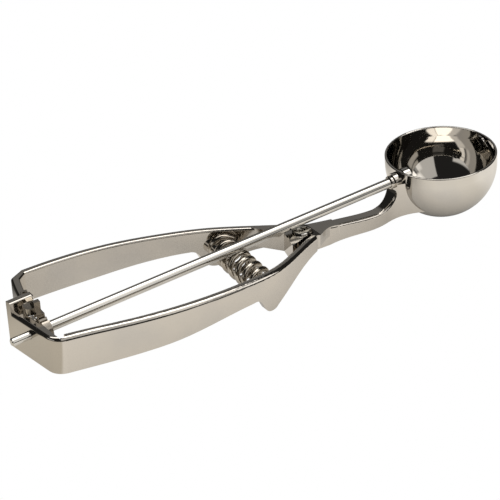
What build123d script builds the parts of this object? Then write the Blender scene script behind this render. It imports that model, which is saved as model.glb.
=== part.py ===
from build123d import *
import os
from math import acos, asin, atan2, cos, degrees, hypot, pi, radians, sin, sqrt, tan

# Squeeze-handle portion scoop. Millimetres. The rod lies on the X axis, the bowl's
# ball centre is the origin and +Z is the open side of the bowl.
os.makedirs("parts", exist_ok=True)

# ---- bowl ----
bowl_radius = 22.0
bowl_wall = 1.0
rim_height = 4.1
rim_round = 0.35

# ---- handle plane: top of both arms, tilted against the rod ----
grip_tilt = 3.9
grip_drop = 8.0
arm_thickness = 3.0
near_outer_round = 1.4
near_inner_round = 0.6
far_outer_round = 1.0
far_inner_round = 0.8
blank_depth = 20.0
blank_width = 60.0

# ---- pivot ----
pivot_x = -69.4
pivot_y = -2.1
lever_travel = 5.4
rivet_radius = 1.9
rivet_head_radius = 3.4
rivet_head_height = 0.65
rivet_tail_radius = 2.8
rivet_dish_radius = 1.7
rivet_dish_depth = 0.3
boss_radius = 5.4
boss_bottom = -6.0
ear_thickness = 2.2
ear_radius = 4.4
lower_ear_thickness = 1.4
lower_ear_radius = 3.6
ear_near_reach = 3.6
ear_rear_reach = 10.5
ear_waist = (-75.4, 0.6)
near_arm_angle = 25.8
ear_gap = 0.3
ear_recess_front = 2.0
web_clearance = 0.4
running_clearance = 0.06
head_gap = 0.1

# ---- rear plate and guide flange ----
plate_far_end = (-184.5, 12.6)
plate_corner = (-180.4, -14.4)
plate_thickness = 3.46
plate_bottom = -14.3
plate_corner_radius = 6.0
flange_y = (10.0, 12.6)
flange_front = -174.8
flange_top_rear = 3.75
flange_top_front = 4.4
flange_round = 0.9
flange_edge_round = 0.6
notch_rear = -178.9
notch_w = (-5.6, 2.25)

# ---- scraper rod ----
rod_radius = 1.95
rod_tail_radius = 1.5
rod_tail_end = -189.4
rod_tail_start = -177.9
rod_clearance = 0.08
rod_end_chamfer = 0.4
tenon_radius = 1.5
tenon_head_radius = 2.2
tenon_head_length = 0.6

# ---- pinion and rack ----
gear_module = 0.925
pinion_teeth = 8
pressure_angle = 28.0
tooth_addendum = 0.8
tooth_dedendum = 1.08
tooth_backlash = 0.12
pinion_front = -175.0
plain_start = 115.0
plain_span = 115.0
rack_radius = 107.4
rack_width = 2.4
rack_top = 5.1
rack_bar_top = 1.85
rack_bottom = 0.85
rack_near_y = 0.5
rack_clearance = 0.35
rack_relief_y = (-14.0, 0.0)
rack_relief_depth = 2.4
block_near_y = 3.5
block_far_y = 5.4
block_slope_end = 9.6
block_round = 0.5
heel_width = 2.8
heel_y = (3.6, 7.8)
heel_bottom = 0.4
heel_top = 3.1
heel_round = 1.3
rack_tail_start = 14.5
rack_tail_end = 18.6
rack_teeth = 5
rack_root_height = 1.35
rack_rivet_radius = 0.9
rack_rivet_y = 16.6
rack_rivet_top = 1.0

# ---- lever tongue ----
tongue_thickness = 3.2
tongue_near_y = 15.2
tongue_depth = 5.0
tongue_step_y = 24.0

# ---- front post, bush and neck ----
post_length = 2.5
post_fillet_top = -3.0
post_fillet_radius = 9.0
neck_round = 1.1
post_half_width = 3.2
bush_outer_radius = 2.6
bush_gap = 0.3
bush_length = 3.7
bush_chamfer = 0.3
neck_half_width = 2.8
neck_rear = -63.4
groove_centre = (-65.0, -9.1)
groove_radius = 2.0

# ---- scraper blade ----
blade_gap = 0.6
blade_thickness = 0.8
blade_half_width = 3.2
blade_rest_angle = 14.0
lug_radius = 3.9
hub_radius = 3.5
hub_length = 2.8
pin_radius = 1.2
pin_head_radius = 2.5
pin_head_height = 0.6
pin_inner_head_radius = 2.2
pin_head_gap = 0.35

# ---- return spring ----
spring_u = -96.3
spring_w = -6.6
spring_near_y = -17.3
spring_far_y = 14.9
spring_radius = 4.6
wire_radius = 1.1
spring_turns = 7.0
peg_length = 2.0
peg_depth = 8.0
peg_radius = 3.0

# Outlines in the handle plane, (along, across), and depths below its top, (along, depth).
near_line = [
    (-176.0, -15.3), (-164.5, -17.5), (-150.4, -20.4), (-135.5, -22.4), (-119.3, -23.1),
    (-104.0, -22.4), (-91.6, -20.5), (-78.7, -14.9), (-66.5, -9.0),
]
far_line = [
    (-70.0, 6.0), (-84.9, 15.3), (-98.1, 22.7), (-112.5, 28.2), (-127.4, 32.5),
    (-143.0, 35.0), (-156.0, 35.6), (-167.8, 35.2),
]
far_corner_y = 31.8
far_bend_y = 29.5
far_corner_radius = 1.6
near_depths = [
    (-175.0, plate_bottom), (-162.0, -14.0), (-148.0, -13.3), (-136.0, -12.5), (-120.0, -10.3),
    (-104.5, -8.9),
]
far_depths = [
    (-176.0, -11.9), (-154.0, -12.2), (-138.0, -11.6), (-122.0, -9.9), (-104.5, -8.6),
]
hook_rear = [(-101.3, -9.6), (-99.6, -12.4), (-98.0, -14.7)]
hook_tip = (-96.0, -15.4)
hook_front = [(-92.8, -14.3), (-85.7, -10.5), (-78.8, -8.0)]

# Neck, seen from the side (X, Z) and from above (X, Y).
neck_top = [(-63.5, -4.8), (-57.0, -6.1), (-47.0, -7.95), (-38.0, -9.5), (-33.0, -10.0)]
neck_bottom = [(-57.0, -14.0), (-43.0, -14.9), (-33.0, -15.7), (-24.0, -14.4), (-14.0, -13.6)]
neck_flare = [(-30.0, 2.8), (-24.0, 3.6), (-20.0, 5.4), (-15.0, 8.5)]
boss_flare = [(-69.0, 8.9), (-64.2, 7.2), (-59.0, 3.8), (-52.0, 2.9)]

grip_cos = cos(radians(grip_tilt))
grip_sin = sin(radians(grip_tilt))
grip = Plane(origin=(0, 0, -grip_drop), x_dir=(grip_cos, 0, -grip_sin), z_dir=(grip_sin, 0, grip_cos))
pivot_z = -grip_drop - pivot_x * grip_sin / grip_cos
pivot_u = pivot_x / grip_cos
pivot_axis = Axis((pivot_x, pivot_y, pivot_z), (grip_sin, 0, grip_cos))
side_plane = Plane(origin=grip.origin, x_dir=grip.x_dir, z_dir=(0, -1, 0))
cross_plane = Plane(origin=grip.origin, x_dir=(0, 1, 0), z_dir=grip.x_dir)
side_view = Plane(origin=(0, 0, 0), x_dir=(1, 0, 0), z_dir=(0, -1, 0))
spring_axis_z = -grip_drop - spring_u * grip_sin + spring_w * grip_cos
spring_axis_x = spring_u * grip_cos + spring_w * grip_sin
near_seat = Plane(origin=(spring_axis_x, spring_near_y, spring_axis_z), x_dir=(1, 0, 0), z_dir=(0, 1, 0))
far_seat = Plane(origin=(spring_axis_x, spring_far_y, spring_axis_z), x_dir=(1, 0, 0), z_dir=(0, -1, 0))
pinion_radius = gear_module * pinion_teeth / 2
rack_inner_radius = rack_radius - rack_width / 2
rack_outer_radius = rack_radius + rack_width / 2
tongue_inner_radius = rack_inner_radius
tongue_outer_radius = tongue_inner_radius + tongue_thickness
bowl_inner = bowl_radius - bowl_wall
blade_outer = bowl_inner - blade_gap
blade_inner = blade_outer - blade_thickness
hub_front = hub_length - blade_inner
pin_inner_start = blade_inner - pin_head_gap - pin_head_height
post_rear = -bowl_radius - post_length
bush_front = -bowl_radius - bush_gap
bush_rear = bush_front - bush_length
blade_cos = cos(radians(blade_rest_angle))
blade_sin = sin(radians(blade_rest_angle))
blade_plane = Plane(origin=(0, 0, 0), x_dir=(0, blade_cos, blade_sin), z_dir=(1, 0, 0))
band_plane = Plane(origin=(0, 0, 0), x_dir=(1, 0, 0), z_dir=(0, -blade_sin, blade_cos))


def inset(line, distance):
    """The line moved to its left by the distance."""
    moved = []
    for index, (u, y) in enumerate(line):
        before = line[max(index - 1, 0)]
        after = line[min(index + 1, len(line) - 1)]
        run = after[0] - before[0]
        rise = after[1] - before[1]
        length = hypot(run, rise)
        moved.append((u - rise / length * distance, y + run / length * distance))
    return moved


def on_circle(radius, y):
    """The point of a circle about the pivot at this Y, on the rear side."""
    return (pivot_u - sqrt(radius**2 - (y - pivot_y) ** 2), y)


def turned(radius, y):
    """The point at this radius on the pivot's ray that meets the rack's middle at this Y."""
    angle = asin((y - pivot_y) / rack_radius)
    return (pivot_u - radius * cos(angle), pivot_y + radius * sin(angle))


def tangent_point(radius, point, side):
    """Where a line from the point touches the circle about the pivot."""
    run = point[0] - pivot_u
    rise = point[1] - pivot_y
    angle = atan2(rise, run) + side * acos(radius / hypot(run, rise))
    return (pivot_u + radius * cos(angle), pivot_y + radius * sin(angle))


def sector(inner, outer, near_y, far_y):
    """Closed outline of a ring piece about the pivot."""
    middle_y = (near_y + far_y) / 2
    ThreePointArc(turned(outer, near_y), turned(outer, middle_y), turned(outer, far_y))
    Line(turned(outer, far_y), turned(inner, far_y))
    ThreePointArc(turned(inner, far_y), turned(inner, middle_y), turned(inner, near_y))
    Line(turned(inner, near_y), turned(outer, near_y))


def ear_outline(radius):
    """Lever ear round the pivot, its near edge beside the near arm, reaching to the lever's arm."""
    angle = radians(near_arm_angle - lever_travel)
    front_reach = sqrt(max(radius**2 - ear_near_reach**2, 0))
    foot = (pivot_u + ear_near_reach * sin(angle), pivot_y - ear_near_reach * cos(angle))
    near_front = (foot[0] + front_reach * cos(angle), foot[1] + front_reach * sin(angle))
    near_rear = (foot[0] - ear_rear_reach * cos(angle), foot[1] - ear_rear_reach * sin(angle))
    arm_corner = (-84.0, 12.6)
    far_touch = tangent_point(radius, arm_corner, -1)
    Polyline(far_touch, arm_corner, ear_waist, near_rear, near_front)
    ThreePointArc(near_front, (pivot_u + radius, pivot_y), far_touch)


def edges_at(piece, outline):
    """The edges of a piece's top that lie nearest to these points of the handle plane."""
    top = piece.edges().filter_by_position(pivot_axis, -0.01, 0.01)
    return [top.sort_by_distance(grip.from_local_coords((u, y, 0)))[0] for u, y in outline]


def halfway(start, end):
    """The point midway between two points of an outline."""
    return ((start[0] + end[0]) / 2, (start[1] + end[1]) / 2)


rack_rivet_centre = turned((tongue_inner_radius + rack_outer_radius) / 2, rack_rivet_y)

# ---- bowl ----
with BuildPart() as bowl:
    with BuildSketch(Plane.XZ):
        with BuildLine():
            CenterArc((0, 0), bowl_radius, -90, 90)
            Line((bowl_radius, 0), (bowl_radius, rim_height))
            Line((bowl_radius, rim_height), (bowl_inner, rim_height))
            Line((bowl_inner, rim_height), (bowl_inner, 0))
            CenterArc((0, 0), bowl_inner, 0, -90)
            Line((0, -bowl_inner), (0, -bowl_radius))
        make_face()
    revolve(axis=Axis.Z)
    fillet(bowl.edges().group_by(Axis.Z)[-1], rim_round)
    with BuildSketch(Plane.YZ.offset(-bowl_radius)):
        Circle(rod_radius + rod_clearance)
    extrude(amount=bowl_wall * 3, both=True, mode=Mode.SUBTRACT)
    with BuildSketch(Plane.YZ.offset(bowl_radius)):
        Circle(pin_radius)
    extrude(amount=bowl_wall * 3, both=True, mode=Mode.SUBTRACT)
bowl.part.label = "bowl"

with BuildPart() as bowl_solid:
    Sphere(bowl_radius)
    Cylinder(bowl_radius, blank_depth, align=(Align.CENTER, Align.CENTER, Align.MIN))

# ---- frame: near arm, rear plate, guide flange, pivot boss, neck and front post ----
near_inner = inset(near_line, arm_thickness)
plate_inner_far = (plate_far_end[0] + plate_thickness, plate_far_end[1])
inner_corner = (-177.0, -11.75)
with BuildPart() as frame_hoop:
    with BuildSketch(grip):
        with BuildLine():
            Line(plate_far_end, plate_corner)
            Line(plate_corner, near_line[0])
            Spline(*near_line)
            Line(near_line[-1], near_inner[-1])
            Spline(*reversed(near_inner))
            Line(near_inner[0], inner_corner)
            Line(inner_corner, plate_inner_far)
            Line(plate_inner_far, plate_far_end)
        face = make_face()
        fillet(face.vertices().sort_by_distance(plate_corner)[0], plate_corner_radius)
    extrude(amount=-blank_depth)
    outer_points = (
        halfway(plate_far_end, plate_corner), plate_corner,
        halfway(near_line[0], plate_corner), near_line[4],
    )
    fillet(edges_at(frame_hoop, outer_points), near_outer_round)
    inner_points = (
        halfway(plate_inner_far, inner_corner), halfway(inner_corner, near_inner[0]), near_inner[4],
    )
    fillet(edges_at(frame_hoop, inner_points), near_inner_round)
    with BuildSketch(side_plane):
        with BuildLine():
            Polyline(near_depths[0], (-192, near_depths[0][1]), (-192, 1), (-60, 1), (-60, -5.5))
            Spline((-60, -5.5), (-67.4, -6.0), *reversed(hook_front))
            Spline(hook_front[0], hook_tip, *reversed(hook_rear), near_depths[-1])
            Spline(*reversed(near_depths))
        make_face()
    extrude(amount=blank_width, both=True, mode=Mode.INTERSECT)

with BuildPart() as neck:
    with BuildSketch(side_view):
        with BuildLine():
            Spline(*neck_top)
            RadiusArc(neck_top[-1], (post_rear, post_fillet_top), -post_fillet_radius)
            Polyline((post_rear, post_fillet_top), (post_rear, 0), (-8, 0), (-8, -13.6), neck_bottom[-1])
            Spline(*reversed(neck_bottom))
            Polyline(neck_bottom[0], (neck_rear, -13.6), neck_top[0])
        make_face()
    extrude(amount=blank_width, both=True)
    with BuildSketch(Plane.XY):
        with BuildLine():
            Line((neck_rear - 2, neck_half_width), neck_flare[0])
            Spline(*neck_flare)
            Line(neck_flare[-1], (neck_flare[-1][0], -neck_flare[-1][1]))
            Spline(*[(x, -y) for x, y in reversed(neck_flare)])
            Line((neck_flare[0][0], -neck_flare[0][1]), (neck_rear - 2, -neck_half_width))
            Line((neck_rear - 2, -neck_half_width), (neck_rear - 2, neck_half_width))
        make_face()
    extrude(amount=blank_width, both=True, mode=Mode.INTERSECT)
    sides = neck.edges().filter_by(lambda edge: abs(edge.center().Y) > neck_half_width - 0.1)
    rear_sides = sides.filter_by_position(Axis.X, neck_rear, post_rear - 1)
    top_sides = rear_sides.filter_by_position(Axis.Z, neck_top[-1][1] - 0.1, neck_top[0][1] + 3)
    fillet(top_sides, neck_round)

with BuildPart() as post:
    with BuildSketch(Plane.YZ.offset(post_rear)):
        Circle(post_half_width)
        with Locations((0, -5)):
            Rectangle(post_half_width * 2, 10)
    extrude(amount=10)

with BuildPart() as boss:
    with BuildSketch(grip.offset(boss_bottom)):
        with Locations((pivot_u, pivot_y)):
            Circle(boss_radius)
        with BuildLine():
            Spline(*[(x, -y) for x, y in boss_flare])
            Line((boss_flare[-1][0], -boss_flare[-1][1]), (boss_flare[-1][0], neck_half_width))
            Line((boss_flare[-1][0], neck_half_width), (pivot_u, pivot_y + boss_radius - 0.2))
            Line((pivot_u, pivot_y + boss_radius - 0.2), (boss_flare[0][0], -boss_flare[0][1]))
        make_face()
    extrude(amount=-boss_bottom - ear_gap)
    with BuildSketch(side_view):
        with BuildLine():
            Spline(*neck_top)
            Polyline(neck_top[-1], (neck_top[-1][0], -17), (-80, -17), (-80, 0), neck_top[0])
        make_face()
    extrude(amount=blank_width, both=True, mode=Mode.INTERSECT)
    with BuildSketch(grip.offset(-ear_thickness - ear_gap)):
        with Locations((pivot_u + ear_recess_front, 0)):
            Rectangle(blank_depth, blank_width, align=(Align.MAX, Align.CENTER))
    extrude(amount=5, mode=Mode.SUBTRACT)

with BuildPart() as flange:
    with BuildSketch(side_plane.offset(-flange_y[1])):
        with BuildLine():
            Polyline(
                (plate_far_end[0] - 2, plate_bottom), (plate_far_end[0] - 2, flange_top_rear),
                (plate_far_end[0], flange_top_rear), (flange_front, flange_top_front),
                (flange_front, notch_w[1]), (notch_rear, notch_w[1]),
                (notch_rear, notch_w[0]), (flange_front, notch_w[0]), (flange_front, plate_bottom),
                (plate_far_end[0] - 2, plate_bottom),
            )
        face = make_face()
        fillet(face.vertices().sort_by_distance((flange_front, flange_top_front))[0], flange_round)
    extrude(amount=flange_y[1] - flange_y[0])
    with BuildSketch(grip):
        with BuildLine():
            Polyline(plate_far_end, plate_corner, (-160, -14), (-160, 20), (-184, 20), plate_far_end)
        make_face()
    extrude(amount=blank_depth, both=True, mode=Mode.INTERSECT)
    near_edges = flange.edges().filter_by_position(Axis.Y, flange_y[0] - 0.01, flange_y[0] + 0.01)
    fillet(near_edges.filter_by_position(pivot_axis, flange_top_rear, flange_top_front), flange_edge_round)

near_middle = inset(near_line, arm_thickness / 2)[4:8]
with BuildPart() as near_peg:
    with BuildSketch(near_seat):
        Circle(peg_radius)
    extrude(amount=-peg_depth)
    with BuildSketch(grip):
        Polygon(*near_middle, (near_middle[-1][0], 0), (near_middle[0][0], 0), align=None)
    extrude(amount=blank_depth, both=True, mode=Mode.INTERSECT)
    with BuildSketch(near_seat):
        Circle(peg_radius)
    extrude(amount=peg_length)

with BuildPart() as ear_space:
    with BuildSketch(grip.offset(-ear_thickness - ear_gap)):
        with BuildLine():
            ear_outline(ear_radius)
        make_face()
        offset(amount=ear_gap + 0.1)
    extrude(amount=ear_thickness * 2)

with BuildPart() as rack_space:
    with BuildSketch(grip.offset(-rack_relief_depth)):
        with BuildLine():
            sector(rack_inner_radius, rack_outer_radius + rack_clearance, *rack_relief_y)
        make_face()
    extrude(amount=blank_depth)

with BuildPart() as frame_arm:
    add(frame_hoop.part)
    add(boss.part)
    add(neck.part)
    add(post.part)
    add(flange.part)
    add(near_peg.part)
    with BuildSketch(grip.offset(-blank_depth)):
        with Locations(groove_centre):
            Circle(groove_radius)
    extrude(amount=blank_depth * 2, mode=Mode.SUBTRACT)
    for turn in (0, lever_travel / 2, lever_travel):
        add(ear_space.part.rotate(pivot_axis, turn), mode=Mode.SUBTRACT)
    add(rack_space.part, mode=Mode.SUBTRACT)
    with BuildSketch(grip):
        with Locations((pivot_u, pivot_y)):
            Circle(rivet_radius)
    extrude(amount=-10, mode=Mode.SUBTRACT)
    with BuildSketch(Plane.YZ.offset(post_rear - 1)):
        Circle(bush_outer_radius)
    extrude(amount=5, mode=Mode.SUBTRACT)
    with BuildSketch(Plane.YZ.offset(-176.0)):
        Circle(rod_tail_radius + rod_clearance)
    extrude(amount=-12, mode=Mode.SUBTRACT)
    add(bowl_solid.part, mode=Mode.SUBTRACT)
frame_arm.part.label = "frame_arm"

# ---- lever: far arm, ears and tongue ----
far_inner = inset(far_line, arm_thickness)
far_corner = on_circle(tongue_outer_radius, far_corner_y)
inner_bend = on_circle(tongue_inner_radius, far_bend_y)
tongue_middle_y = (tongue_near_y + far_corner_y) / 2
tongue_end_out = turned(tongue_outer_radius, tongue_near_y)
tongue_end_in = turned(tongue_inner_radius, tongue_near_y)
with BuildPart() as lever_blank:
    with BuildSketch(grip):
        with BuildLine():
            Spline(*far_line)
            Line(far_line[-1], far_corner)
            ThreePointArc(far_corner, on_circle(tongue_outer_radius, tongue_middle_y), tongue_end_out)
            Line(tongue_end_out, tongue_end_in)
            ThreePointArc(tongue_end_in, on_circle(tongue_inner_radius, tongue_middle_y), inner_bend)
            Line(inner_bend, far_inner[-1])
            Spline(*reversed(far_inner))
            Line(far_inner[0], far_line[0])
        face = make_face()
        fillet(face.vertices().sort_by_distance(far_corner)[0], far_corner_radius)
    extrude(amount=-blank_depth)
    outer_points = (
        far_line[4], halfway(far_line[-1], far_corner), on_circle(tongue_outer_radius, tongue_middle_y),
    )
    fillet(edges_at(lever_blank, outer_points), far_outer_round)
    inner_points = (
        far_inner[4], halfway(far_inner[-1], inner_bend), on_circle(tongue_inner_radius, tongue_middle_y),
    )
    fillet(edges_at(lever_blank, inner_points), far_inner_round)
    with BuildSketch(side_plane):
        with BuildLine():
            Polyline(
                far_depths[0], (-192, far_depths[0][1]), (-192, 1), (-60, 1), (-60, -9.0),
                (-71.0, -9.0),
            )
            Spline((-71.0, -9.0), (-78.8, -8.3), (-85.7, -10.5), hook_front[0])
            Spline(hook_front[0], hook_tip, *reversed(hook_rear), far_depths[-1])
            Spline(*reversed(far_depths))
        make_face()
    extrude(amount=blank_width, both=True, mode=Mode.INTERSECT)
    with BuildSketch(grip.offset(-tongue_depth)):
        with Locations((rack_rivet_centre[0], tongue_step_y)):
            Rectangle(blank_depth, blank_depth, align=(Align.CENTER, Align.MAX))
    extrude(amount=-blank_depth, mode=Mode.SUBTRACT)

far_middle = inset(far_line, arm_thickness / 2)[1:4]
with BuildPart() as far_peg:
    with BuildSketch(far_seat):
        Circle(peg_radius)
    extrude(amount=-peg_depth)
    with BuildSketch(grip):
        Polygon(*far_middle, (far_middle[-1][0], 0), (far_middle[0][0], 0), align=None)
    extrude(amount=blank_depth, both=True, mode=Mode.INTERSECT)
    with BuildSketch(far_seat):
        Circle(peg_radius)
    extrude(amount=peg_length)

with BuildPart() as web:
    with BuildSketch(grip.offset(-ear_thickness / 2)):
        with BuildLine():
            ear_outline(lower_ear_radius)
        make_face()
        with Locations((pivot_u, pivot_y)):
            Circle(boss_radius + web_clearance, mode=Mode.SUBTRACT)
        with Locations((pivot_u, 0)):
            Rectangle(blank_width, blank_width, align=(Align.MIN, Align.CENTER), mode=Mode.SUBTRACT)
    extrude(amount=boss_bottom - ear_gap)

with BuildPart() as lever_arm:
    add(lever_blank.part)
    add(far_peg.part)
    add(web.part)
    with BuildSketch(grip):
        with BuildLine():
            ear_outline(ear_radius)
        make_face()
    extrude(amount=-ear_thickness)
    with BuildSketch(grip.offset(boss_bottom - ear_gap)):
        with BuildLine():
            ear_outline(lower_ear_radius)
        make_face()
    extrude(amount=-lower_ear_thickness)
    with BuildSketch(grip):
        with Locations((pivot_u, pivot_y)):
            Circle(rivet_radius + running_clearance)
        with Locations(rack_rivet_centre):
            Circle(rack_rivet_radius)
    extrude(amount=-12, mode=Mode.SUBTRACT)
lever_arm.part.label = "lever_arm"

# ---- rack on the lever's tongue ----
tooth_pitch = pi * gear_module
tooth_half = tooth_pitch / 4 - tooth_backlash / 2
flank_slope = tan(radians(pressure_angle))
addendum = tooth_addendum * gear_module
tip_half = tooth_half - addendum * flank_slope
root_half = tooth_half + rack_root_height * flank_slope
rack_rear_x = (pivot_u - rack_outer_radius) * grip_cos
with BuildPart() as rack_tooth:
    with BuildSketch(Plane.YZ.offset(rack_rear_x)):
        Polygon(
            (-root_half, pinion_radius + rack_root_height), (-tip_half, pinion_radius - addendum),
            (tip_half, pinion_radius - addendum), (root_half, pinion_radius + rack_root_height),
            align=None,
        )
    extrude(amount=rack_width)

with BuildPart() as rack:
    with BuildSketch(grip.offset(rack_bottom)):
        with BuildLine():
            sector(rack_inner_radius, rack_outer_radius, rack_near_y, rack_tail_end)
        make_face()
    extrude(amount=rack_top - rack_bottom)
    with BuildSketch(grip):
        with BuildLine():
            sector(rack_inner_radius, rack_outer_radius, rack_tail_start, rack_tail_end)
        make_face()
    extrude(amount=rack_bottom)
    with BuildSketch(cross_plane):
        with BuildLine():
            Polyline(
                (rack_near_y - 1, 0), (rack_near_y - 1, rack_bar_top), (block_near_y, rack_bar_top),
                (block_near_y, rack_top), (block_far_y, rack_top), (block_slope_end, rack_bar_top),
                (rack_tail_end, rack_bar_top), (rack_tail_end + 1, 0), (rack_near_y - 1, 0),
            )
        face = make_face()
        fillet(face.vertices().sort_by_distance((block_far_y, rack_top))[0], block_round)
        fillet(face.vertices().sort_by_distance((block_near_y, rack_top))[0], block_round)
    extrude(amount=-200, mode=Mode.INTERSECT)
    with BuildSketch(grip.offset(heel_bottom)):
        with BuildLine():
            sector(rack_outer_radius, rack_outer_radius + heel_width, *heel_y)
        face = make_face()
        rear_corner = turned(rack_outer_radius + heel_width, heel_y[0])
        fillet(face.vertices().sort_by_distance(rear_corner)[0], heel_round)
    extrude(amount=heel_top - heel_bottom)
    for index in range(rack_teeth):
        turn = degrees((index + 0.5) * tooth_pitch / rack_radius)
        add(rack_tooth.part.rotate(pivot_axis, -turn))
    with BuildSketch(grip.offset(-tongue_depth)):
        with Locations(rack_rivet_centre):
            Circle(rack_rivet_radius)
    extrude(amount=blank_depth, mode=Mode.SUBTRACT)
rack.part.label = "rack"

with BuildPart() as rack_rivet:
    with BuildSketch(grip.offset(-tongue_depth)):
        with Locations(rack_rivet_centre):
            Circle(rack_rivet_radius)
    extrude(amount=tongue_depth + rack_rivet_top)
rack_rivet.part.label = "rack_rivet"

# ---- pivot rivet ----
rivet_bottom = boss_bottom - ear_gap - lower_ear_thickness - head_gap
with BuildPart() as pivot_rivet:
    with BuildSketch(grip.offset(rivet_bottom)):
        with Locations((pivot_u, pivot_y)):
            Circle(rivet_radius)
    extrude(amount=head_gap - rivet_bottom)
    with BuildSketch(grip.offset(head_gap)):
        with Locations((pivot_u, pivot_y)):
            Circle(rivet_head_radius)
    extrude(amount=rivet_head_height)
    chamfer(pivot_rivet.edges().group_by(pivot_axis)[-1], 0.3)
    with BuildSketch(grip.offset(head_gap + rivet_head_height)):
        with Locations((pivot_u, pivot_y)):
            Circle(rivet_dish_radius)
    extrude(amount=-rivet_dish_depth, mode=Mode.SUBTRACT)
    with BuildSketch(grip.offset(rivet_bottom)):
        with Locations((pivot_u, pivot_y)):
            Circle(rivet_tail_radius)
    extrude(amount=-rivet_head_height)
pivot_rivet.part.label = "pivot_rivet"

# ---- scraper rod, pinion and bush ----
with BuildPart() as scraper_rod:
    with BuildSketch(Plane.YZ.offset(rod_tail_start)):
        Circle(rod_radius)
    extrude(amount=-rod_tail_start - blade_inner)
    with BuildSketch(band_plane):
        Circle(blade_outer)
    extrude(amount=bowl_radius, both=True, mode=Mode.SUBTRACT)
    with BuildSketch(Plane.YZ.offset(rod_tail_end)):
        Circle(rod_tail_radius)
    extrude(amount=rod_tail_start - rod_tail_end)
    chamfer(scraper_rod.edges().group_by(Axis.X)[0], rod_end_chamfer)
    with BuildSketch(Plane.YZ.offset(-blade_outer - 1)):
        Circle(tenon_radius)
    extrude(amount=blade_outer + 1 + hub_front)
    with BuildSketch(Plane.YZ.offset(hub_front)):
        Circle(tenon_head_radius)
    extrude(amount=tenon_head_length, taper=30)
scraper_rod.part.label = "scraper_rod"

base_radius = pinion_radius * cos(radians(pressure_angle))
tip_radius = pinion_radius + addendum
root_radius = pinion_radius - tooth_dedendum * gear_module
tip_roll = sqrt((tip_radius / base_radius) ** 2 - 1)
base_half = tooth_half / pinion_radius + flank_slope - radians(pressure_angle)
upper_flank = []
for step in range(5):
    roll = tip_roll * step / 4
    radius = base_radius * sqrt(1 + roll**2)
    angle = base_half - roll + atan2(roll, 1)
    upper_flank.append((radius * cos(angle), radius * sin(angle)))
lower_flank = [(x, -y) for x, y in reversed(upper_flank)]
root_point = (root_radius * 0.95 * cos(base_half), root_radius * 0.95 * sin(base_half))
with BuildSketch() as pinion_tooth:
    with BuildLine():
        Line(root_point, upper_flank[0])
        Spline(*upper_flank)
        Line(upper_flank[-1], lower_flank[0])
        Spline(*lower_flank)
        Line(lower_flank[-1], (root_point[0], -root_point[1]))
        Line((root_point[0], -root_point[1]), root_point)
    make_face()

with BuildPart() as pinion:
    with BuildSketch(Plane.YZ.offset(rod_tail_start)):
        Circle(root_radius)
        with PolarLocations(0, pinion_teeth, start_angle=90):
            add(pinion_tooth.sketch)
        with BuildLine():
            plain_side = CenterArc((0, 0), tip_radius, plain_start, plain_span)
            Polyline(plain_side @ 1, (0, 0), plain_side @ 0)
        make_face()
        Circle(rod_radius, mode=Mode.SUBTRACT)
    extrude(amount=pinion_front - rod_tail_start)
pinion.part.label = "pinion"

with BuildPart() as front_bush:
    with BuildSketch(Plane.YZ.offset(bush_rear)):
        Circle(bush_outer_radius)
        Circle(rod_radius + rod_clearance, mode=Mode.SUBTRACT)
    extrude(amount=bush_front - bush_rear)
    chamfer(front_bush.edges().group_by(Axis.X)[0].sort_by(SortBy.RADIUS)[-1], bush_chamfer)
front_bush.part.label = "front_bush"

# ---- scraper blade, its hub and its far pivot pin ----
with BuildPart() as blade_form:
    with BuildSketch(blade_plane.offset(-bowl_radius)):
        Circle(blade_half_width)
        Rectangle(bowl_radius, blade_half_width * 2, align=(Align.MAX, Align.CENTER))
    extrude(amount=bowl_radius * 2)
    with BuildSketch(blade_plane):
        Circle(lug_radius)
    extrude(amount=bowl_radius)

with BuildPart() as scraper_blade:
    with BuildSketch(band_plane):
        Circle(blade_outer)
        Circle(blade_inner, mode=Mode.SUBTRACT)
        with Locations((0, lug_radius)):
            Rectangle(bowl_radius * 2, bowl_radius, align=(Align.CENTER, Align.MIN), mode=Mode.SUBTRACT)
    extrude(amount=lug_radius, both=True)
    add(blade_form.part, mode=Mode.INTERSECT)
    with BuildSketch(blade_plane):
        Circle(tenon_radius)
    extrude(amount=-bowl_radius, mode=Mode.SUBTRACT)
    with BuildSketch(blade_plane):
        Circle(pin_radius + running_clearance)
    extrude(amount=bowl_radius, mode=Mode.SUBTRACT)
scraper_blade.part.label = "scraper_blade"

with BuildPart() as blade_hub:
    with BuildSketch(Plane.YZ.offset(hub_front)):
        Circle(hub_radius)
    extrude(amount=-bowl_wall * 4)
    with BuildSketch(band_plane):
        Circle(blade_inner)
    extrude(amount=bowl_radius, both=True, mode=Mode.INTERSECT)
    with BuildSketch(Plane.YZ.offset(hub_front)):
        Circle(tenon_radius)
    extrude(amount=-bowl_wall * 5, mode=Mode.SUBTRACT)
blade_hub.part.label = "blade_hub"

with BuildPart() as blade_pivot_pin:
    with BuildSketch(Plane.YZ.offset(bowl_radius + pin_head_height)):
        Circle(pin_head_radius)
    extrude(amount=-pin_head_height * 2, taper=-12)
    add(bowl_solid.part, mode=Mode.SUBTRACT)
    with BuildSketch(Plane.YZ.offset(pin_inner_start)):
        Circle(pin_radius)
    extrude(amount=bowl_radius - pin_inner_start)
    with BuildSketch(Plane.YZ.offset(pin_inner_start)):
        Circle(pin_inner_head_radius)
    extrude(amount=pin_head_height)
blade_pivot_pin.part.label = "blade_pivot_pin"

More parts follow.
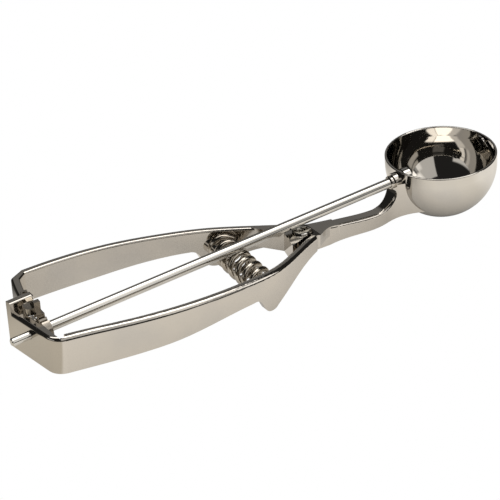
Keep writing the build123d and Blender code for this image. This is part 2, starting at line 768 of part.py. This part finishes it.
# ---- return spring between the two arms ----
spring_start = spring_near_y + wire_radius
spring_end = spring_far_y - wire_radius
spring_length = spring_end - spring_start
with BuildPart() as return_spring:
    with BuildLine():
        coil = Helix(
            pitch=spring_length / spring_turns, height=spring_length, radius=spring_radius,
            center=(spring_axis_x, spring_start, spring_axis_z), direction=(0, 1, 0),
        )
    with BuildSketch(Plane(origin=coil @ 0, z_dir=coil % 0)):
        Circle(wire_radius)
    sweep(path=coil, is_frenet=True)
return_spring.part.label = "return_spring"

pieces = (
    bowl, frame_arm, front_bush, pivot_rivet, lever_arm, rack, rack_rivet,
    scraper_rod, pinion, scraper_blade, blade_hub, blade_pivot_pin, return_spring,
)
for piece in pieces:
    export_step(piece.part, f"parts/{piece.part.label}.step")
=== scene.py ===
from math import degrees, pi

import bmesh
import bpy
from mathutils import Matrix, Vector


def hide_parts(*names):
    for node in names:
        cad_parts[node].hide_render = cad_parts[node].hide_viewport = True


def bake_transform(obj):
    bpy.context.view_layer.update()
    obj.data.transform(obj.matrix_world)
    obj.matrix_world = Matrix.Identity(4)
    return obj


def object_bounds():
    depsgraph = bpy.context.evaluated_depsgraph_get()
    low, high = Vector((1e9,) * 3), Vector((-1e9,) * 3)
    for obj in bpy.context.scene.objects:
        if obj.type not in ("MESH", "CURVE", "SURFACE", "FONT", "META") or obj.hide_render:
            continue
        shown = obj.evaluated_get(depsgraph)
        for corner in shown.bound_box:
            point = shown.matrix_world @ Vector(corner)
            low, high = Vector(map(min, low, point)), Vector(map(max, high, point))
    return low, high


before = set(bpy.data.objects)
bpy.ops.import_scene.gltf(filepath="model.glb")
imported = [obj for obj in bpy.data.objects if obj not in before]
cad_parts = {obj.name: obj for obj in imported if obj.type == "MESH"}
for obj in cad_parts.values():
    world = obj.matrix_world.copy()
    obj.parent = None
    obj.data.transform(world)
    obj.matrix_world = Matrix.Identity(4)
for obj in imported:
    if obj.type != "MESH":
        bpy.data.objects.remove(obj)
cad_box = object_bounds()


# ---------------------------------------------------------------- shader tools
class Value:
    """A shader socket that takes part in Python expressions."""

    def __init__(self, recipe, socket):
        self.recipe = recipe
        self.socket = socket

    def math(self, operation, *others):
        return self.recipe.node("ShaderNodeMath", {"operation": operation}, [self, *others])

    def __add__(self, other):
        return self.math("ADD", other)

    __radd__ = __add__

    def __mul__(self, other):
        return self.math("MULTIPLY", other)

    __rmul__ = __mul__

    def __sub__(self, other):
        return self.math("SUBTRACT", other)

    def __rsub__(self, other):
        return self.recipe.node("ShaderNodeMath", {"operation": "SUBTRACT"}, [other, self])

    def ramp(self, low, high):
        """0 below low, 1 above high, smooth between them."""
        settings = {"interpolation_type": "SMOOTHSTEP"}
        return self.recipe.node("ShaderNodeMapRange", settings, [self, low, high, 0.0, 1.0])


class Recipe:
    """One material or world: makes nodes by type, settings and inputs."""

    def __init__(self, owner):
        owner.use_nodes = True
        self.tree = owner.node_tree
        self.tree.nodes.clear()

    def node(self, kind, settings=None, inputs=None, output=0):
        made = self.tree.nodes.new(kind)
        for name, setting in (settings or {}).items():
            setattr(made, name, setting)
        pairs = inputs.items() if isinstance(inputs, dict) else enumerate(inputs or [])
        for key, value in pairs:
            socket = made.inputs[key]
            if isinstance(value, Value):
                self.tree.links.new(value.socket, socket)
            elif value is not None:
                socket.default_value = value
        return Value(self, made.outputs[output]) if made.outputs else None

    def mix(self, factor, low, high):
        """Colour between low and high by the factor."""
        settings = {"data_type": "RGBA"}
        return self.node("ShaderNodeMix", settings, {0: factor, 6: low, 7: high}, output=2)

    def axes(self, vector):
        """The three parts of a vector."""
        parts = self.node("ShaderNodeSeparateXYZ", None, [vector]).socket.node
        return [Value(self, parts.outputs[index]) for index in range(3)]


def grey(level):
    return (level, level, level, 1.0)


def box_of(piece):
    """Lowest and highest corner of a piece."""
    corners = [piece.matrix_world @ Vector(corner) for corner in piece.bound_box]
    low = Vector([min(corner[index] for corner in corners) for index in range(3)])
    high = Vector([max(corner[index] for corner in corners) for index in range(3)])
    return low, high


# ---------------------------------------------------------------- finishes
OBJECT_COORDINATES = 3
HAZE_SCALE = 55.0
GRAIN_SCALE = 900.0
HAZE_TINTS = (0.35, 0.75)
HAZE_DULLS = (0.45, 0.8)
HAZE_ROUGHNESS = 0.05
GRAIN_ROUGHNESS = 0.03
GRAIN_RELIEF = 0.01
WAVE_DEPTH = 0.0006


def polished_metal(name, colour, dark, roughness, wave, wave_size):
    """Bright plated or polished metal with faint polishing waves and handling haze."""
    material = bpy.data.materials.new(name)
    recipe = Recipe(material)
    place = recipe.node("ShaderNodeTexCoord", output=OBJECT_COORDINATES)
    haze = recipe.node("ShaderNodeTexNoise", None, {"Vector": place, "Scale": HAZE_SCALE, "Detail": 4.0})
    grain = recipe.node("ShaderNodeTexNoise", None, {"Vector": place, "Scale": GRAIN_SCALE, "Detail": 3.0})
    waves = recipe.node("ShaderNodeTexNoise", None, {"Vector": place, "Scale": wave_size, "Detail": 1.0})
    tint = recipe.mix(haze.ramp(*HAZE_TINTS), colour, dark)
    rough = haze.ramp(*HAZE_DULLS) * HAZE_ROUGHNESS + grain * GRAIN_ROUGHNESS + roughness
    relief = waves + grain * GRAIN_RELIEF
    bump = recipe.node(
        "ShaderNodeBump", None, {"Strength": wave, "Distance": WAVE_DEPTH, "Height": relief}
    )
    shader = recipe.node(
        "ShaderNodeBsdfPrincipled",
        None,
        {"Base Color": tint, "Metallic": 1.0, "Roughness": rough, "Normal": bump},
    )
    recipe.node("ShaderNodeOutputMaterial", None, {"Surface": shader})
    return material


# name, colour, darker colour, roughness, wave strength and wave size
PLATED = polished_metal("polished_plating", (0.60, 0.565, 0.515, 1), (0.55, 0.525, 0.49, 1), 0.07, 0.10, 40.0)
BOWL = polished_metal("spun_bowl_steel", (0.62, 0.59, 0.54, 1), (0.57, 0.55, 0.52, 1), 0.03, 0.08, 60.0)
ROD = polished_metal("drawn_rod_steel", (0.68, 0.66, 0.62, 1), (0.60, 0.59, 0.56, 1), 0.06, 0.05, 80.0)
WIRE = polished_metal("spring_wire", (0.50, 0.46, 0.40, 1), (0.34, 0.30, 0.25, 1), 0.12, 0.05, 300.0)
GEAR = polished_metal("milled_gear_steel", (0.50, 0.46, 0.40, 1), (0.34, 0.31, 0.27, 1), 0.18, 0.15, 200.0)

finish_of = {
    "frame_arm": PLATED, "lever_arm": PLATED, "front_bush": PLATED, "bowl": BOWL, "scraper_blade": BOWL,
    "blade_hub": ROD, "blade_pivot_pin": ROD, "pivot_rivet": ROD, "scraper_rod": ROD,
    "rack": GEAR, "rack_rivet": GEAR, "pinion": GEAR, "return_spring": WIRE,
}
for node, finish in finish_of.items():
    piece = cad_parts[node]
    piece.data.materials.clear()
    piece.data.materials.append(finish)


# ---------------------------------------------------------------- return spring
def helix_turns(shape, ring, axis_place, turns, pitch, steps):
    """Carries the wire's end ring round the axis and along it; gives the new end ring."""
    return bmesh.ops.spin(
        shape, geom=ring, cent=axis_place, axis=(0, 1, 0), dvec=(0, pitch / steps, 0),
        angle=turns * 2 * pi, steps=round(turns * steps), use_duplicate=False,
    )["geom_last"]


def coil_spring():
    """The return spring with closed ends, its turns leaning with the arms they press on."""
    low, high = box_of(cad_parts["return_spring"])
    wire = 0.0011
    wire_sides = 14
    turn_steps = 40
    radius = (high.x - low.x) / 2 - wire
    centre = Vector(((low.x + high.x) / 2, low.y + wire, (low.z + high.z) / 2))
    closed_turns = 0.4
    open_turns = 6.2
    closed_pitch = wire * 2.1
    far_shift = 0.0028
    far_reach = 0.0012
    length = high.y - low.y - 2 * wire + far_reach
    open_pitch = (length - 2 * closed_turns * closed_pitch) / open_turns
    near_lean = 0.12
    far_lean = -0.50
    shape = bmesh.new()
    start = bmesh.ops.create_circle(shape, cap_ends=False, radius=wire, segments=wire_sides)["verts"]
    bmesh.ops.translate(shape, verts=start, vec=centre + Vector((radius, 0, 0)))
    cap = list(start)
    ring = start + list(shape.edges)
    closed_end = (closed_turns, closed_pitch)
    for turns, pitch in (closed_end, (open_turns, open_pitch), closed_end):
        ring = helix_turns(shape, ring, centre, turns, pitch, turn_steps)
    bmesh.ops.contextual_create(shape, geom=cap)
    bmesh.ops.contextual_create(shape, geom=[part for part in ring if isinstance(part, bmesh.types.BMVert)])
    bmesh.ops.recalc_face_normals(shape, faces=shape.faces)
    for vertex in shape.verts:
        share = min(max((vertex.co.y - centre.y) / length, 0.0), 1.0)
        lean = near_lean + (far_lean - near_lean) * share ** 2
        vertex.co.y += (vertex.co.x - centre.x) * lean
        vertex.co.x += far_shift * share ** 2
    for face in shape.faces:
        face.smooth = True
    mesh = bpy.data.meshes.new("coil")
    shape.to_mesh(mesh)
    shape.free()
    coil = bpy.data.objects.new("coil", mesh)
    bpy.context.scene.collection.objects.link(coil)
    mesh.materials.append(WIRE)
    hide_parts("return_spring")
    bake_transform(coil)


coil_spring()


# ---------------------------------------------------------------- studio
def panel(across, height, sides, levels, soft):
    """1 inside a window of the studio's wall, in degrees, with soft edges."""
    left, right = sides
    low, high = levels
    half = soft / 2
    width = across.ramp(left - half, left + half) * (1 - across.ramp(right - half, right + half))
    return width * height.ramp(low - half, low + half) * (1 - height.ramp(high - half, high + half))


def studio_world():
    """White to the eye; the metal sees a dark room with lit windows.

    A window is given by its sides (0 is the front, 90 the bowl's end, 180 the back),
    its lower and upper height above the horizon, its edge softness and its level.
    """
    windows = (
        ((-22, 27), (13, 62), 3, 0.62),
        ((27, 63), (36, 80), 8, 1.25),
        ((38, 58), (13, 36), 4, 1.6),
        ((62, 178), (56, 84), 6, 3.3),
        ((-178, -130), (56, 84), 6, 2.4),
        ((-118, -68), (14, 27), 5, 0.7),
        ((128, 174), (14, 46), 10, 0.17),
        ((14, 34), (-10, 34), 8, 0.38),
    )
    world = bpy.data.worlds.new("studio")
    bpy.context.scene.world = world
    recipe = Recipe(world)
    direction = recipe.node("ShaderNodeTexCoord", output=0)
    east, north, up = recipe.axes(direction)
    across = east.math("ARCTAN2", 0 - north) * degrees(1)
    height = up.math("ARCSINE") * degrees(1)
    level = 0.02
    for sides, levels, soft, strength in windows:
        level = level + panel(across, height, sides, levels, soft) * strength
    studio = recipe.node("ShaderNodeBackground", None, {"Color": (1.0, 0.975, 0.94, 1), "Strength": level})
    white = recipe.node("ShaderNodeBackground", None, {"Color": grey(1.0), "Strength": 1.0})
    is_camera = recipe.node("ShaderNodeLightPath", output="Is Camera Ray")
    mixed = recipe.node("ShaderNodeMixShader", None, [is_camera, studio, white])
    recipe.node("ShaderNodeOutputWorld", None, {"Surface": mixed})


def studio_floor():
    """Plain white table to the eye, without a shadow; the metal sees a painted one.

    The painted table has painted light under the scoop, a brighter painted pool of light by the bowl,
    painted shade behind the handle's end, painted darkness at the back and painted contact shade
    under the parts. A pair is where a fade starts and ends, in metres.
    """
    half_side = 1.5
    centre_x = -0.08
    gap = 0.0002
    lit_front = (-0.10, -0.07)
    lit_back = (0.035, 0.075)
    lit_end = (0.16, 0.20)
    # painted pool of light on the table by the bowl
    glow_start = (0.012, 0.035)
    glow_end = (0.05, 0.08)
    glow_back = (-0.02, 0.0)
    # painted shade on the table behind the handle's end, a darker copy of the lit colour
    handle_shade_end = (-0.197, -0.187)
    lit_colour = (1.0, 0.955, 0.885, 1)
    glow_colour = (1.15, 1.11, 1.05, 1)
    handle_shade_colour = (0.70, 0.65, 0.56, 1)
    # painted darkness for the unlit back of the table
    dark_colour = (0.05, 0.048, 0.044, 1)
    shade_reach = 0.04
    mesh = bpy.data.meshes.new("table")
    shape = bmesh.new()
    bmesh.ops.create_grid(shape, x_segments=1, y_segments=1, size=half_side)
    bmesh.ops.translate(shape, verts=shape.verts, vec=(centre_x, 0, cad_box[0][2] - gap))
    shape.to_mesh(mesh)
    shape.free()
    table = bpy.data.objects.new("table", mesh)
    bpy.context.scene.collection.objects.link(table)
    material = bpy.data.materials.new("table_top")
    recipe = Recipe(material)
    place = recipe.node("ShaderNodeTexCoord", output=OBJECT_COORDINATES)
    along, back = recipe.axes(place)[:2]
    # mask of the painted lit area; outside it the table shows painted darkness
    lit = back.ramp(*lit_front) * (1 - along.ramp(*lit_end)) * (1 - back.ramp(*lit_back))
    # painted light: the lit front and the brighter painted pool of light by the bowl
    glow = along.ramp(*glow_start) * (1 - along.ramp(*glow_end)) * (1 - back.ramp(*glow_back))
    paint = recipe.mix(glow, lit_colour, glow_colour)
    # painted shade behind the handle's end, seen only in the metal's reflections
    paint = recipe.mix(along.ramp(*handle_shade_end), handle_shade_colour, paint)
    paint = recipe.mix(lit, dark_colour, paint)
    # painted contact shade: the occlusion node darkens the painted table under and between the parts
    open_sky = recipe.node("ShaderNodeAmbientOcclusion", {"samples": 8}, {"Distance": shade_reach}, output=1)
    shaded = recipe.mix(open_sky, grey(0.0), paint)
    cloth = recipe.node("ShaderNodeBsdfDiffuse", None, {"Color": (0.85, 0.83, 0.80, 1)})
    painted = recipe.node("ShaderNodeEmission", None, {"Color": shaded, "Strength": 1.0})
    white = recipe.node("ShaderNodeEmission", None, {"Color": grey(1.0), "Strength": 1.0})
    is_camera = recipe.node("ShaderNodeLightPath", output="Is Camera Ray")
    is_glossy = recipe.node("ShaderNodeLightPath", output="Is Glossy Ray")
    mirror = recipe.node("ShaderNodeMixShader", None, [is_glossy, cloth, painted])
    shown = recipe.node("ShaderNodeMixShader", None, [is_camera, mirror, white])
    recipe.node("ShaderNodeOutputMaterial", None, {"Surface": shown})
    mesh.materials.append(material)


def soft_lamp(name, place, target, size, power):
    """Square area lamp turned to the target."""
    lamp = bpy.data.lights.new(name, "AREA")
    lamp.shape = "SQUARE"
    lamp.size = size
    lamp.energy = power
    holder = bpy.data.objects.new(name, lamp)
    holder.location = place
    holder.rotation_euler = (Vector(target) - Vector(place)).to_track_quat("-Z", "Y").to_euler()
    holder.visible_glossy = False
    bpy.context.scene.collection.objects.link(holder)


def studio_camera():
    """Long lens in front of the handle's end, looking down at the scoop."""
    right = Vector((0.829378, -0.552397, -0.083600))
    upward = Vector((0.353055, 0.402241, 0.844721))
    forward = Vector((0.432994, 0.730109, -0.528637))
    place = Vector((-0.347859, -0.433080, 0.310139))
    lens = bpy.data.cameras.new("camera")
    lens.sensor_width = 36.0
    lens.lens = 115.27
    lens.clip_start = 0.01
    camera = bpy.data.objects.new("camera", lens)
    turn = Matrix((right, upward, -forward)).transposed().to_4x4()
    camera.matrix_world = Matrix.Translation(place) @ turn
    bpy.context.scene.collection.objects.link(camera)
    bpy.context.scene.camera = camera


studio_world()
studio_floor()
soft_lamp("key_lamp", (-0.3, -0.6, 0.7), (-0.08, 0, 0), 0.35, 6.0)
studio_camera()
bpy.context.scene.view_settings.view_transform = "Standard"
